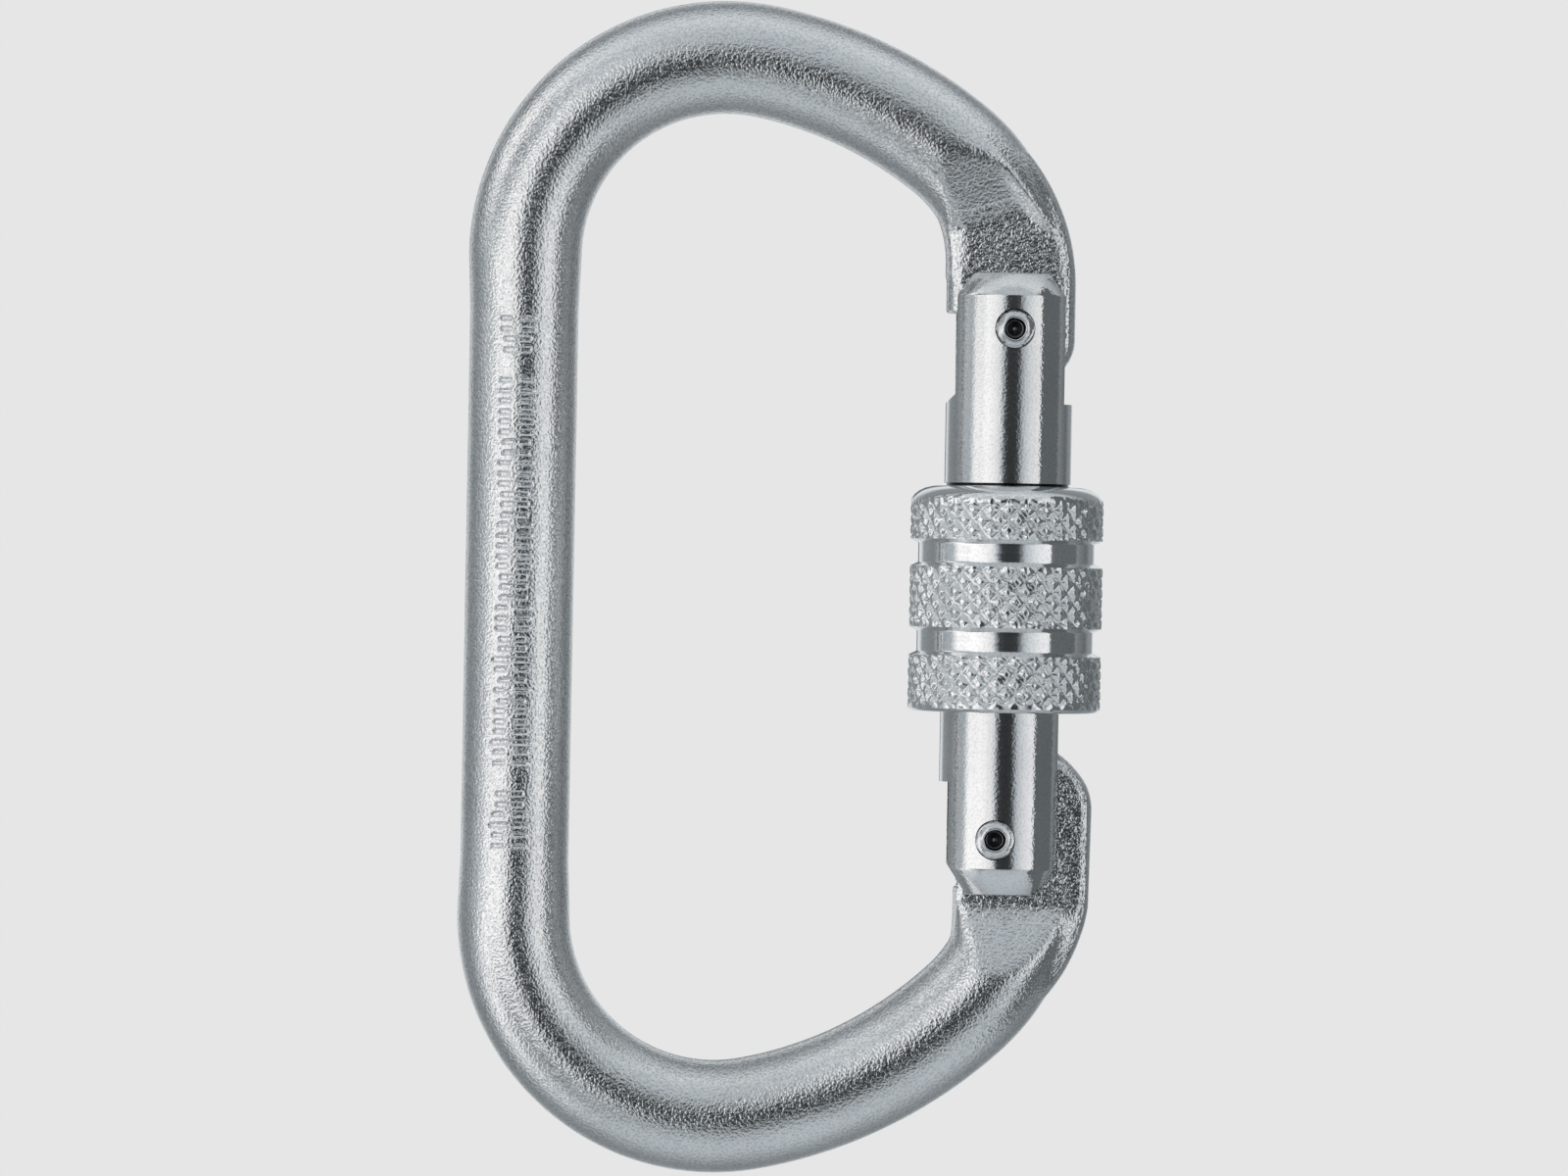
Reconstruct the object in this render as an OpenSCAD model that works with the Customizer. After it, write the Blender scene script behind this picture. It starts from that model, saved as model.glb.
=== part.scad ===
// Oval screw-gate carabiner, in millimetres.
// +Z runs up the long axis, +X points to the gate and Y is the thickness.
// The origin is the centre of the whole object's box.

/* [Body] */
// Overall length over the two bows
body_l = 108.2; // [90:0.1:130]
// Overall width, spine to lock sleeve
body_w = 59.1; // [50:0.1:70]
// Rod diameter along the spine
spine_d = 10; // [8:0.1:12]
// Rod diameter round the bows, a little fuller after bending
bow_d = 10.4; // [8:0.1:12]
// Centreline radius of the wide bend beside the spine
wide_r = 18.5; // [15:0.1:22]
// Centreline radius of the long slope towards the gate
slope_r = 40; // [30:1:60]
// Angle where the wide bend hands over to the slope
slope_from = 79; // [70:1:88]
// Angle where the upper slope hands over to the nose bend
nose_from = 52; // [40:1:60]
// Centreline radius of the nose bend
nose_r = 15; // [12:0.5:20]
// Angle where the lower slope hands over to the hinge bend
hinge_from = 46; // [40:1:60]
// Centreline radius of the hinge bend
hinge_r = 15; // [12:0.5:20]

/* [Tongues] */
// Thickness of the flattened nose and hinge tongues
tongue_t = 5.7; // [4:0.1:8]
// Width of the nose tongue
nose_w = 11.9; // [10:0.1:13]
// Height of the nose tongue's lower end
nose_z = 19.3; // [18:0.1:22]
// Bevel along the nose tongue's inner edges
nose_bevel = 1.4; // [0.5:0.1:2]
// Reach of the hinge tongue's back beyond the gate's axis
heel_x = 8.25; // [6:0.05:9]
// Radius of the hinge tongue's rounded back about its pin
heel_r = 9.9; // [8:0.1:11]

/* [Gate] */
// Diameter of the gate
gate_d = 11.7; // [10:0.1:13]
// Height of the gate's top end
gate_top = 29.35; // [26:0.05:32]
// Height of the gate's bottom end
gate_bottom = -27.9; // [-32:0.05:-25]
// Width of the slots that straddle the tongues
slot_w = 6.1; // [5:0.1:7]
// Height of the upper slot's floor
slot_z = 17.35; // [15:0.05:19]
// Diameter over the screw thread that drives the sleeve
thread_d = 12.3; // [11.8:0.1:12.4]
// Diameter of the spring bore
bore_d = 4.4; // [3:0.1:5]
// Offset of the spring bore from the gate's axis
bore_dx = -1.6; // [-2:0.1:0]
// Height of the blind end of the spring bore
bore_top = 2; // [0:0.5:6]

/* [Sleeve] */
// Outside diameter over the knurled bands
sleeve_d = 17.9; // [16:0.1:20]
// Diameter of the two grooves
groove_d = 16.3; // [15:0.1:17]
// Length of the sleeve
sleeve_l = 20.8; // [18:0.1:24]
// Height of the sleeve's lower end when it is unlocked
sleeve_z = -11.1; // [-12:0.1:-9]
// Diameter of the sleeve's bore
sleeve_bore_d = 12.9; // [12.6:0.1:13.5]

/* [Pins and spring] */
// Height of the hinge pin
hinge_z = -22.8; // [-25:0.1:-20]
// Offset of the hinge pin from the gate's axis
hinge_dx = -0.7; // [-1:0.1:1]
// Height of the latch pin
latch_z = 24.2; // [22:0.1:26]
// Offset of the latch pin from the gate's axis
latch_dx = 0.3; // [-1:0.1:1]
// Shank diameter of the hinge pin
hinge_pin_d = 3.2; // [2.5:0.1:4]
// Shank diameter of the latch pin
latch_pin_d = 2.6; // [2:0.1:3]
// Diameter of the swaged pin heads
head_d = 3.6; // [3:0.1:4.5]
// Wire diameter of the gate spring
wire_d = 0.6; // [0.4:0.05:0.8]
// Turns of the gate spring
spring_turns = 8; // [5:1:12]

/* [Hidden] */
$fn = 96;
swell = 0.06;
spine_x = -body_w / 2 + (bow_d + swell) / 2;
gate_x = body_w / 2 - sleeve_d / 2;
wide_c = [spine_x + wide_r, body_l / 2 - bow_d / 2 - wide_r];
hinge_x = gate_x + hinge_dx;
latch_x = gate_x + latch_dx;
bore_x = gate_x + bore_dx;
gate_r = gate_d / 2;
fit = 0.05;
heel_flat = 4.2;
ridge_z = hinge_z - 6.3;
plunger_d = bore_d - 2 * fit;
plunger_tip = hinge_z + heel_flat + 0.1;
plunger_top = plunger_tip + 9;
ring_z = sleeve_z + 4;
ring_h = 1.4;

// A point on a circle in the X-Z plane.
function on_circle(c, r, a) = c + r * [cos(a), sin(a)];

// Centre of a bend of radius r2 that carries on from one of radius r1 at angle a.
function next_c(c, r1, r2, a) = on_circle(c, r1 - r2, a);

slope_c = next_c(wide_c, wide_r, slope_r, slope_from);
nose_c = next_c(slope_c, slope_r, nose_r, nose_from);
heel_c = next_c(slope_c, slope_r, hinge_r, hinge_from);

// Turns a flat X-Z outline into a plate t thick, centred on the plane of the object.
module plate(t) {
    rotate([90, 0, 0])
        linear_extrude(t, center = true)
            children();
}

// A stretch of round rod bent about the centre c, from angle a to angle b.
// It stops just short of both ends, where a knuckle takes over.
module bend(c, r, a, b) {
    short = 0.1;
    translate([c[0], 0, c[1]])
        rotate([90, 0, 0])
            rotate_extrude(start = a + short, angle = b - a - 2 * short)
                translate([r, 0])
                    circle(d = bow_d);
}

// Ball that joins two stretches of rod, a hair fuller than they are.
module knuckle(p) {
    translate([p[0], 0, p[1]])
        sphere(d = bow_d + swell);
}

// Half of the body's rod: half the spine, the wide bend, the slope and the gate-side bend.
module half_rod(end_c, end_r, end_from) {
    swell_h = 5;
    swell_z = wide_c[1] - swell_h;
    translate([spine_x, 0, -1])
        cylinder(d = spine_d, h = swell_z + 1.01);
    translate([spine_x, 0, swell_z])
        cylinder(d1 = spine_d, d2 = bow_d, h = swell_h - 0.05);
    knuckle(on_circle(wide_c, wide_r, 180));
    bend(wide_c, wide_r, slope_from, 180);
    knuckle(on_circle(wide_c, wide_r, slope_from));
    bend(slope_c, slope_r, end_from, slope_from);
    knuckle(on_circle(end_c, end_r, end_from));
    bend(end_c, end_r, 0, end_from);
}

// Outline of the nose tongue, open on the inner side for the latch pin.
module nose_outline() {
    left = gate_x - nose_w / 2;
    right = gate_x + nose_w / 2;
    seat_r = latch_pin_d / 2 + 0.2;
    lip_z = latch_z + latch_pin_d / 2 + 0.15;
    corner_r = 4;
    flare_r = 19.5;
    difference() {
        intersection() {
            union() {
                translate([left, nose_z])
                    square([nose_w - corner_r, 12]);
                translate([left, nose_z + corner_r])
                    square([nose_w, 17]);
                translate([right - corner_r, nose_z + corner_r])
                    circle(r = corner_r);
            }
            union() {
                translate([left - 1, nose_z - 1])
                    square([nose_w + 2, 28 - nose_z + 1]);
                translate([right - flare_r, 28])
                    circle(r = flare_r);
            }
        }
        // the tooth stands back from the lip so that the pin can reach the seat
        translate([left - 1, nose_z - 1])
            square([2.75, lip_z - nose_z + 1]);
        translate([left - 1, latch_z - seat_r - 0.3])
            square([latch_x - left + 1, lip_z - latch_z + seat_r + 0.3]);
        translate([latch_x, latch_z])
            circle(r = seat_r);
    }
}

// Outline of the hinge tongue: heel, plunger step and flared neck.
module hinge_outline() {
    right = gate_x + heel_x;
    flare_r = 16.5;
    flare_z = -26.6;
    difference() {
        union() {
            translate([hinge_x - 3.9, hinge_z - 3.8])
                square([right - hinge_x + 3.9, heel_flat + 3.8]);
            intersection() {
                translate([hinge_x, hinge_z])
                    circle(r = heel_r);
                translate([hinge_x + 1.6, hinge_z])
                    square([right - hinge_x - 1.6, heel_r]);
            }
            intersection() {
                translate([right - flare_r, flare_z])
                    circle(r = flare_r);
                translate([hinge_x, flare_z - 11])
                    square([20, 11.5]);
            }
        }
        translate([hinge_x, hinge_z])
            circle(d = hinge_pin_d + 2 * fit);
    }
}

// Clears the cheeks' path beside the nose: everything outside the tongue's thickness.
module nose_flat_cut() {
    far = gate_x + 9;
    for (side = [-1, 1])
        translate([0, side * (tongue_t / 2 + 5), 0])
            plate(10)
                polygon([
                    [gate_x - 11, 29.9],
                    [gate_x - 4.55, 29.9],
                    [gate_x - 4.55, 38.9],
                    [gate_x - 2.35, 38.7],
                    [gate_x + 5.05, 31.6],
                    [far, 31.6],
                    [far, 14],
                    [gate_x - 11, 14]
                ]);
}

// Clears the cheeks' path beside the hinge, with a slope back up to the full rod.
module hinge_flat_cut() {
    slope_l = 6.4;
    for (side = [0, 180])
        translate([hinge_x + 1, 0, ridge_z])
            rotate([0, 0, side])
                rotate([90, 0, 90])
                    linear_extrude(24, center = true)
                        polygon([
                            [tongue_t / 2, 0],
                            [tongue_t / 2, 20],
                            [12, 20],
                            [12, -slope_l],
                            [bow_d / 2, -slope_l]
                        ]);
}

module body() {
    bevel = nose_bevel * sqrt(2);
    color([0.74, 0.75, 0.76])
        union() {
            difference() {
                union() {
                    half_rod(nose_c, nose_r, nose_from);
                    mirror([0, 0, 1])
                        half_rod(heel_c, hinge_r, hinge_from);
                }
                nose_flat_cut();
                hinge_flat_cut();
                // the hinge pin's hole goes through the rod's end too
                plate(20)
                    translate([hinge_x, hinge_z])
                        circle(d = hinge_pin_d + 2 * fit);
            }
            difference() {
                plate(tongue_t)
                    nose_outline();
                for (side = [-1, 1], y = [-1, 1])
                    translate([gate_x + side * nose_w / 2, y * tongue_t / 2, 24])
                        rotate([0, 0, 45])
                            cube([bevel, bevel, 14], center = true);
            }
            plate(tongue_t)
                hinge_outline();
        }
}

// The gate's turned blank with its chamfered ends and its raised thread.
module gate_blank() {
    end_r = gate_r - 1.2;
    top_h = 2;
    bottom_h = 2.35;
    translate([gate_x, 0, gate_bottom])
        cylinder(r1 = end_r, r2 = gate_r, h = bottom_h);
    translate([gate_x, 0, gate_bottom + bottom_h])
        cylinder(r = gate_r, h = gate_top - gate_bottom - top_h - bottom_h);
    translate([gate_x, 0, gate_top - top_h])
        cylinder(r1 = gate_r, r2 = end_r, h = top_h);
    translate([gate_x, 0, sleeve_z + 0.5])
        cylinder(d = thread_d, h = sleeve_l - 1.2);
}

// Drilled and countersunk seat for a swaged pin through both cheeks.
module pin_seat(x, z, d) {
    translate([x, 0, z])
        rotate([90, 0, 0]) {
            cylinder(d = d, h = 20, center = true);
            for (side = [0, 180])
                rotate([side, 0, 0]) {
                    translate([0, 0, gate_r - 1])
                        cylinder(d1 = d, d2 = head_d + 0.4, h = 0.5);
                    translate([0, 0, gate_r - 0.5])
                        cylinder(d = head_d + 0.4, h = 1);
                }
        }
}

module gate() {
    color([0.79, 0.8, 0.81])
        difference() {
            gate_blank();
            plate(slot_w)
                translate([gate_x, 0])
                    polygon([
                        [-8, slot_z - 2.15],
                        [-4.9, slot_z + 0.95],
                        [3.8, slot_z + 0.95],
                        [4.4, slot_z],
                        [8, slot_z],
                        [8, gate_top + 1],
                        [-8, gate_top + 1]
                    ]);
            plate(slot_w)
                translate([gate_x, 0])
                    polygon([
                        [-8, -17.55],
                        [-4.2, -17.55],
                        [0.2, -12.1],
                        [5.9, -10.3],
                        [8, -10.3],
                        [8, gate_bottom - 1],
                        [-8, gate_bottom - 1]
                    ]);
            // corners taken off so that the cheeks clear the body's ridge as they swing
            plate(20)
                translate([hinge_x, hinge_z])
                    polygon([
                        [-9, -2.2],
                        [-4.42, -2.2],
                        [-2.6, -5],
                        [-2.6, -9],
                        [-9, -9]
                    ]);
            plate(20)
                translate([hinge_x, hinge_z])
                    polygon([
                        [3.4, -9],
                        [3.4, -5],
                        [4.6, -4],
                        [5.7, -2.2],
                        [9, -2.2],
                        [9, -9]
                    ]);
            translate([bore_x, 0, -20])
                cylinder(d = bore_d, h = bore_top + 20);
            pin_seat(hinge_x, hinge_z, hinge_pin_d);
            pin_seat(latch_x, latch_z, latch_pin_d);
        }
}

// A semi-tubular rivet: plain shank, swaged flared ends, a cup drilled in each end.
module rivet(x, z, d) {
    half = gate_r;
    cup_r = d / 2 - 0.35;
    head_r = head_d / 2;
    translate([x, 0, z])
        rotate([90, 0, 0])
            rotate_extrude()
                polygon([
                    [0, -half + 1.6],
                    [cup_r, -half + 1.6],
                    [cup_r, -half + 0.4],
                    [cup_r + 0.15, -half - 0.05],
                    [cup_r + 0.45, -half - 0.1],
                    [head_r, -half + 0.25],
                    [head_r - 0.1, -half + 0.55],
                    [d / 2, -half + 1],
                    [d / 2, half - 1],
                    [head_r - 0.1, half - 0.55],
                    [head_r, half - 0.25],
                    [cup_r + 0.45, half + 0.1],
                    [cup_r + 0.15, half + 0.05],
                    [cup_r, half - 0.4],
                    [cup_r, half - 1.6],
                    [0, half - 1.6]
                ]);
}

module latch_pin() {
    color([0.7, 0.7, 0.71])
        rivet(latch_x, latch_z, latch_pin_d);
}

module hinge_pin() {
    color([0.7, 0.7, 0.71])
        rivet(hinge_x, hinge_z, hinge_pin_d);
}

// Steel sleeve: threaded at the foot, plain bore above, knurled bands between two grooves.
module lock_sleeve() {
    r = sleeve_d / 2;
    g = groove_d / 2;
    bore = sleeve_bore_d / 2;
    nut = thread_d / 2 + fit;
    ring_seat = bore + 0.45;
    z0 = sleeve_z;
    top = sleeve_z + sleeve_l;
    color([0.8, 0.8, 0.8])
        translate([gate_x, 0, 0])
            rotate_extrude()
                polygon([
                    [nut, z0 + 0.4],
                    [nut + 0.4, z0],
                    [r - 0.65, z0],
                    [r - 0.2, z0 + 0.2],
                    [r, z0 + 0.65],
                    [r, -5.9],
                    [g, -5.6],
                    [g, -3.6],
                    [r, -3.3],
                    [r, 2.3],
                    [g, 2.6],
                    [g, 4.5],
                    [r, 4.8],
                    [r, top - 1.5],
                    [r - 0.35, top - 0.85],
                    [r - 1.05, top - 0.3],
                    [r - 1.9, top],
                    [bore + 0.15, top],
                    [bore, top - 0.2],
                    [bore, ring_z + ring_h + 0.05],
                    [ring_seat, ring_z + ring_h + 0.05],
                    [ring_seat, ring_z - 0.05],
                    [nut, ring_z - 0.05]
                ]);
}

// Rubber ring in the sleeve's inner groove, which rubs on the thread's crests.
module friction_ring() {
    inner = thread_d / 2 + fit;
    color([0.08, 0.08, 0.08])
        translate([gate_x, 0, ring_z])
            rotate_extrude()
                translate([inner, 0])
                    square([sleeve_bore_d / 2 + 0.4 - inner, ring_h]);
}

// Round-nosed plunger that presses on the step of the hinge tongue.
module plunger() {
    r = plunger_d / 2;
    stem_h = plunger_top - plunger_tip - r;
    spigot_h = 3;
    color([0.7, 0.66, 0.5])
        translate([bore_x, 0, plunger_tip + r])
            rotate_extrude() {
                intersection() {
                    circle(r = r);
                    translate([0, -r])
                        square([r, r]);
                }
                square([r, stem_h]);
                square([1.2, stem_h + spigot_h]);
            }
}

// Helical wire built ring by ring, with closed ends.
module gate_spring() {
    coil_r = bore_d / 2 - wire_d / 2 - 0.2;
    sides = 8;
    steps = 20 * spring_turns;
    low = plunger_top + wire_d / 2 + 0.02;
    high = bore_top - wire_d / 2 - 0.02;
    points = [
        for (i = [0:steps], k = [0:sides - 1])
            let (
                a = 360 * spring_turns * i / steps,
                b = 360 * k / sides,
                rr = coil_r + wire_d / 2 * cos(b)
            )
            [rr * cos(a), rr * sin(a), low + (high - low) * i / steps + wire_d / 2 * sin(b)]
    ];
    wall = [
        for (i = [0:steps - 1], k = [0:sides - 1])
            let (
                a = i * sides + k,
                b = i * sides + (k + 1) % sides
            )
            each [[a, b, a + sides], [b, b + sides, a + sides]]
    ];
    first = [for (k = [0:sides - 1]) sides - 1 - k];
    last = [for (k = [0:sides - 1]) steps * sides + k];
    color([0.5, 0.5, 0.52])
        translate([bore_x, 0, 0])
            polyhedron(points, concat(wall, [first, last]), convexity = 20);
}

body();
gate();
lock_sleeve();
friction_ring();
latch_pin();
hinge_pin();
plunger();
gate_spring();
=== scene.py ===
import math
import random

import bmesh
import bpy
import numpy as np
from mathutils import Matrix, Vector, noise


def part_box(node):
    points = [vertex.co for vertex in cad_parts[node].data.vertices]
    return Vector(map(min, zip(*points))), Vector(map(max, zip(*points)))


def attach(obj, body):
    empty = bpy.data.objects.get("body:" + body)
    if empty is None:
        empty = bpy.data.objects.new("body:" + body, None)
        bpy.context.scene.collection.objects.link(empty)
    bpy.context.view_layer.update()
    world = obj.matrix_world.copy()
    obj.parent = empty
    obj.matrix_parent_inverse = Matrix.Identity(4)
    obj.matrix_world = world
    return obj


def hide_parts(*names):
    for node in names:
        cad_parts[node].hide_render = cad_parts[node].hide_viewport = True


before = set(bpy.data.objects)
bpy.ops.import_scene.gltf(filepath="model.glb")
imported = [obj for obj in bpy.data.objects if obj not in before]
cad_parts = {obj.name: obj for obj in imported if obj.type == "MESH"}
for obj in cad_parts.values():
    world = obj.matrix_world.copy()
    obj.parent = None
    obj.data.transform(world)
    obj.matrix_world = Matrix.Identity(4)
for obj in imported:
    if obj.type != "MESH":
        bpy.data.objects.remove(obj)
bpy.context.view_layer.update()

MM = 0.001
TAU = 2 * math.pi

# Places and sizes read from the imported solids, in millimetres.
def box_mm(node):
    lo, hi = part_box(node)
    return np.array(lo) / MM, np.array(hi) / MM


def middle(node):
    lo, hi = box_mm(node)
    return (lo + hi) / 2


BODY_LO, BODY_HI = box_mm("body")
SLEEVE_LO, SLEEVE_HI = box_mm("lock_sleeve")
GATE_LO, GATE_HI = box_mm("gate")
RING_LO, RING_HI = box_mm("friction_ring")
SPRING_LO, SPRING_HI = box_mm("gate_spring")
GATE_X = middle("lock_sleeve")[0]
HINGE = middle("hinge_pin")
LATCH = middle("latch_pin")

# Driving sizes of the object, in millimetres, as in the solids.
SPINE_D = 10.0
BOW_D = 10.4
WIDE_R, SLOPE_R, END_R = 18.5, 40.0, 15.0
SLOPE_FROM, NOSE_FROM, HINGE_FROM = 79.0, 52.0, 46.0
TONGUE_T = 5.7
NOSE_W = 11.9
NOSE_Z = 19.3
HEEL_X = 8.25
HEEL_R = 9.9
HEEL_FLAT = 4.2
GATE_D = 11.7
SLOT_W = 6.1
SLOT_Z = 17.35
BORE_D, BORE_DX, BORE_TOP = 4.4, -1.6, 2.0
THREAD_D = 12.3
GROOVE_D = 16.3
SLEEVE_BORE_D = 12.9
LATCH_PIN_D, HINGE_PIN_D, HEAD_D = 2.6, 3.2, 3.6
FIT = 0.05

SPINE_X = BODY_LO[0] + (BOW_D + 0.06) / 2
WIDE_C = np.array([SPINE_X + WIDE_R, BODY_HI[2] - BOW_D / 2 - WIDE_R])
RIDGE_Z = HINGE[2] - 6.3


# ---------------------------------------------------------------- mesh helpers

def on_circle(c, r, a):
    return np.array(c) + r * np.array([math.cos(math.radians(a)), math.sin(math.radians(a))])


def arc(c, r, a, b, step=0.35):
    """Points along an arc from angle a to angle b, ends included."""
    n = max(2, int(abs(math.radians(b - a)) * r / step))
    return [on_circle(c, r, a + (b - a) * i / n) for i in range(n + 1)]


def new_object(name, bm):
    """Turns a bmesh in millimetres into an object in metres."""
    bmesh.ops.recalc_face_normals(bm, faces=bm.faces)
    bmesh.ops.scale(bm, vec=(MM, MM, MM), verts=bm.verts)
    mesh = bpy.data.meshes.new(name)
    bm.to_mesh(mesh)
    bm.free()
    for p in mesh.polygons:
        p.use_smooth = True
    o = bpy.data.objects.new(name, mesh)
    bpy.context.scene.collection.objects.link(o)
    return o


def loft(rings):
    """Joins rings of points with equal counts into a tube with closed ends."""
    bm = bmesh.new()
    rows = [[bm.verts.new(p) for p in ring] for ring in rings]
    n = len(rows[0])
    for a, b in zip(rows, rows[1:]):
        for i in range(n):
            j = (i + 1) % n
            bm.faces.new((a[i], a[j], b[j], b[i]))
    bm.faces.new(rows[0][::-1])
    bm.faces.new(rows[-1])
    return bm


def plate(outline, y0, y1):
    """A flat X-Z outline made solid between y0 and y1."""
    bm = bmesh.new()
    near = [bm.verts.new((p[0], y0, p[1])) for p in outline]
    far = [bm.verts.new((p[0], y1, p[1])) for p in outline]
    n = len(outline)
    bm.faces.new(near)
    bm.faces.new(far[::-1])
    for i in range(n):
        j = (i + 1) % n
        bm.faces.new((near[i], far[i], far[j], near[j]))
    return bm


def revolve(profile, axis_xy, steps=128, bumps=None):
    """Turns (radius, z) points about a vertical axis. A closed profile makes a ring, and one that starts
    and ends at radius 0 makes a solid. bumps(radius, z, angle) gives the radius at each point."""
    bm = bmesh.new()
    solid = profile[0][0] == 0
    columns = []
    ends = []
    if solid:
        ends = [bm.verts.new((axis_xy[0], axis_xy[1], z)) for z in (profile[0][1], profile[-1][1])]
        profile = profile[1:-1]
    for i in range(steps):
        a = TAU * i / steps
        ring = []
        for r, z in profile:
            rr = bumps(r, z, a) if bumps else r
            ring.append(bm.verts.new((axis_xy[0] + rr * math.cos(a), axis_xy[1] + rr * math.sin(a), z)))
        columns.append(ring)
    n = len(profile)
    for i in range(steps):
        a, b = columns[i], columns[(i + 1) % steps]
        for k in range(n - 1 if solid else n):
            m = (k + 1) % n
            bm.faces.new((a[k], b[k], b[m], a[m]))
        if solid:
            bm.faces.new((ends[0], b[0], a[0]))
            bm.faces.new((ends[1], a[-1], b[-1]))
    return bm


def modifier(o, kind, **settings):
    """Adds a modifier and applies it."""
    m = o.modifiers.new(kind, kind)
    for k, v in settings.items():
        setattr(m, k, v)
    dg = bpy.context.evaluated_depsgraph_get()
    done = bpy.data.meshes.new_from_object(o.evaluated_get(dg))
    o.modifiers.clear()
    old = o.data
    o.data = done
    bpy.data.meshes.remove(old)


def cut(o, bm):
    """Takes the shape in bm away from o."""
    tool = new_object("tool", bm)
    modifier(o, "BOOLEAN", operation="DIFFERENCE", object=tool, solver="EXACT")
    bpy.data.objects.remove(tool)


def join(parts):
    """Puts several objects' meshes into the first one."""
    bm = bmesh.new()
    for o in parts:
        bm.from_mesh(o.data)
    bm.to_mesh(parts[0].data)
    bm.free()
    for o in parts[1:]:
        bpy.data.objects.remove(o)
    return parts[0]


def coords(mesh):
    co = np.empty(len(mesh.vertices) * 3)
    mesh.vertices.foreach_get("co", co)
    return co.reshape(-1, 3)


def normals(mesh):
    no = np.empty(len(mesh.vertices) * 3)
    mesh.vertices.foreach_get("normal", no)
    return no.reshape(-1, 3)


def set_coords(mesh, co):
    mesh.vertices.foreach_set("co", co.ravel())
    mesh.update()


def mark_points(o, name, values):
    """Stores one value per point, which a material reads by name."""
    mask = o.data.attributes.new(name, "FLOAT", "POINT")
    mask.data.foreach_set("value", np.asarray(values, float))


def smooth_by_angle(o, degrees):
    o.data.polygons.foreach_set("use_smooth", [True] * len(o.data.polygons))
    o.data.set_sharp_from_angle(angle=math.radians(degrees))


def round_y(x, z, stations):
    """Round tool along Y from (y, radius) stations."""
    sides = 64
    turns = [TAU * i / sides for i in range(sides)]
    return loft([[(x + r * math.cos(a), y, z + r * math.sin(a)) for a in turns] for y, r in stations])


# ---------------------------------------------------------------- body

def next_centre(c, r1, r2, a):
    """Centre of an arc of radius r2 that carries on smoothly, at angle a, from one of radius r1 about c."""
    return on_circle(c, r1 - r2, a)


# Centres of the bends in the upper half. The hinge end uses its own mirrored below.
SLOPE_C = next_centre(WIDE_C, WIDE_R, SLOPE_R, SLOPE_FROM)
NOSE_C = next_centre(SLOPE_C, SLOPE_R, END_R, NOSE_FROM)
HEEL_C = next_centre(SLOPE_C, SLOPE_R, END_R, HINGE_FROM)

# Round outer edge of each tongue, where it runs out along the bow.
NOSE_FLARE_R, HEEL_FLARE_R = 19.5, 16.5
NOSE_FLARE_C = (GATE_X + NOSE_W / 2 - NOSE_FLARE_R, 28.0)
HEEL_FLARE_C = (GATE_X + HEEL_X - HEEL_FLARE_R, -26.6)

# Further out than any face of the rod, for tools that cut its faces away.
OUTSIDE = 12


def centreline():
    """Middle of the rod from the nose, round the spine, to the hinge end."""
    upper = arc(NOSE_C, END_R, 0, NOSE_FROM)[:-1]
    upper += arc(SLOPE_C, SLOPE_R, NOSE_FROM, SLOPE_FROM)[:-1]
    upper += arc(WIDE_C, WIDE_R, SLOPE_FROM, 180)[:-1]
    lower = arc(HEEL_C, END_R, 0, HINGE_FROM)[:-1]
    lower += arc(SLOPE_C, SLOPE_R, HINGE_FROM, SLOPE_FROM)[:-1]
    lower += arc(WIDE_C, WIDE_R, SLOPE_FROM, 180)[:-1]
    lower = [np.array([p[0], -p[1]]) for p in lower]
    spine = [np.array([SPINE_X, z]) for z in np.linspace(WIDE_C[1], -WIDE_C[1], 150)]
    return upper + spine + lower[::-1]


def flare_reach(p, c, flare_c, flare_r, limit):
    """How far a tongue's outer edge stands beyond the rod's, seen from the bend's centre c through p."""
    if p[0] < c[0]:
        return 0
    d = (p - c) / np.linalg.norm(p - c)
    off = np.array(flare_c) - c
    along = off @ d
    out = along + math.sqrt(flare_r**2 - (off @ off - along**2))
    return max(0, min(out, (limit - c[0]) / max(d[0], 0.01)) - END_R - BOW_D / 2)


def rod():
    """Bent rod, thinner along the spine. At both ends its side towards the loop swells, by as much as
    the tongue's outer edge stands out there."""
    path = centreline()
    low_c = np.array([HEEL_C[0], -HEEL_C[1]])
    sides, taper = 96, 5
    rings = []
    for i, p in enumerate(path):
        t = path[min(i + 1, len(path) - 1)] - path[max(i - 1, 0)]
        t = t / np.linalg.norm(t)
        side = np.array([t[1], -t[0]])
        thick = min(max((abs(p[1]) - WIDE_C[1] + taper) / taper, 0), 1)
        r = (SPINE_D + (BOW_D - SPINE_D) * thick) / 2
        if p[1] > 0:
            extra = flare_reach(p, NOSE_C, NOSE_FLARE_C, NOSE_FLARE_R, GATE_X + NOSE_W / 2)
        else:
            extra = flare_reach(p, low_c, HEEL_FLARE_C, HEEL_FLARE_R, GATE_X + HEEL_X)
        ring = []
        for k in range(sides):
            a = TAU * k / sides
            u = math.cos(a)
            inward = max(-u, 0)
            full = inward ** (1 - 0.4 * min(extra / 0.5, 1))
            q = p + side * (r * u - ((r + extra) * full - r * inward))
            ring.append((q[0], r * math.sin(a), q[1]))
        rings.append(ring)
    return new_object("rod", loft(rings))


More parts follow.
